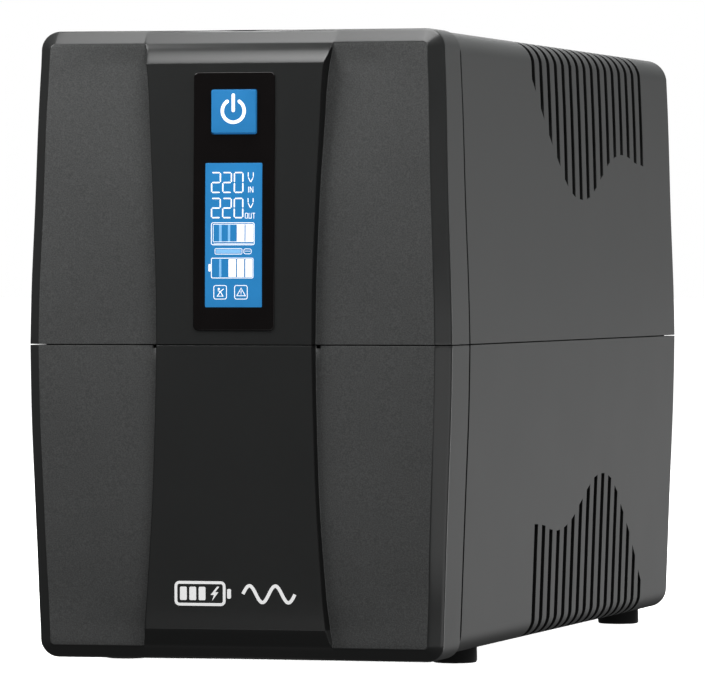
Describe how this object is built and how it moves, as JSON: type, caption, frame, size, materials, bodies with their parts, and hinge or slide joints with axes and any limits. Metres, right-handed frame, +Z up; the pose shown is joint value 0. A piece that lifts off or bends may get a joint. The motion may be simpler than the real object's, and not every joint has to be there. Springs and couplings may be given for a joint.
{
  "type": "uninterruptible power supply",
  "caption": "Tower uninterruptible power supply: drafted two-part case with wave-cut side vents, raised front panel with display and power button, rear sockets and fan.",
  "frame": {"origin": "centre of the footprint, at the height the feet stand on", "axes": "+Z up, +X to the right seen from the front, the front with the display faces -Y"},
  "size_m": [0.1242, 0.316, 0.182],
  "materials": {
    "case_black": "fine moulded grain, charcoal black",
    "bezel_black": "fine moulded grain wings, satin centre",
    "rear_black": "satin moulded",
    "window_gloss": "polished black",
    "lcd_blue": "backlit blue display under a clear layer",
    "button_blue": "satin blue cap with a white pictogram",
    "button_white": "satin",
    "rubber_black": "matt",
    "socket_black": "satin moulded",
    "module_black": "satin moulded",
    "nickel": "nickel plated",
    "zinc_steel": "zinc plated",
    "port_metal": "plated shell",
    "terminal_tin": "tin plated",
    "battery_case": "moulded",
    "core_steel": "stacked laminations, varnished",
    "winding_tape": "wound tape over copper",
    "board_green": "solder mask",
    "heatsink_alu": "extruded",
    "relay_blue": "moulded",
    "capacitor_sleeve": "shrink sleeve",
    "lead_red": "insulation",
    "lead_black": "insulation",
    "ribbon_grey": "flat cable insulation",
    "tray_grey": "moulded"
  },
  "bodies": {
    "chassis": {"top_cover": "case_black", "base_cover": "case_black", "front_bezel_upper": "bezel_black", "front_bezel_lower": "bezel_black", "rear_panel": "rear_black", "display_window": "window_gloss", "lcd_screen": "lcd_blue", "lcd_module": "module_black", "display_board": "board_green", "tact_switch": "module_black", "lcd_spacer": "tray_grey", "buzzer": "module_black", "inlet_body": "socket_black", "breaker_body": "socket_black", "surge_port": "socket_black", "usb_port": "port_metal", "fan_frame": "socket_black", "fan_guard": "zinc_steel", "battery_bracket": "zinc_steel", "transformer_core": "core_steel", "transformer_winding": "winding_tape", "transformer_frame": "zinc_steel", "board_tray": "tray_grey", "main_board": "board_green", "heat_sink": "heatsink_alu", "relay": "relay_blue", "capacitor": "capacitor_sleeve", "battery_lead_red": "lead_red", "battery_lead_black": "lead_black", "ribbon_cable": "ribbon_grey", "battery_1": "battery_case", "battery_2": "battery_case", "foot_front_left": "rubber_black", "foot_front_right": "rubber_black", "foot_rear_left": "rubber_black", "foot_rear_right": "rubber_black", "case_screw_1": "zinc_steel", "outlet_1": "socket_black", "earth_clip_1": "nickel", "case_screw_2": "zinc_steel", "outlet_2": "socket_black", "earth_clip_2": "nickel", "case_screw_3": "zinc_steel", "outlet_3": "socket_black", "earth_clip_3": "nickel", "case_screw_4": "zinc_steel", "outlet_4": "socket_black", "earth_clip_4": "nickel", "inlet_pin_earth": "nickel", "inlet_pin_left": "nickel", "inlet_pin_right": "nickel", "battery_1_positive": "terminal_tin", "battery_1_negative": "terminal_tin", "battery_2_positive": "terminal_tin", "battery_2_negative": "terminal_tin"},
    "power_button": {"power_button": "button_blue"},
    "fan_rotor": {"fan_rotor": "socket_black"},
    "fuse_drawer": {"fuse_drawer": "socket_black", "fuse": "nickel"},
    "breaker_button": {"breaker_button": "button_white"}
  },
  "joints": [
    {"name": "power_button_press", "type": "slide", "parent": "chassis", "child": "power_button", "axis": [0, 1, 0], "range_m": [0, 0.0012], "stiffness_N_per_m": 900, "springref_m": -0.0008},
    {"name": "fan_spin", "type": "hinge", "parent": "chassis", "child": "fan_rotor", "pos_m": [-0.029, 0.145, 0.145], "axis": [0, 1, 0], "continuous": true},
    {"name": "fuse_drawer_slide", "type": "slide", "parent": "chassis", "child": "fuse_drawer", "axis": [0, 1, 0], "range_m": [0, 0.016]},
    {"name": "breaker_reset", "type": "slide", "parent": "chassis", "child": "breaker_button", "axis": [0, 1, 0], "range_m": [0, 0.003]}
  ]
}
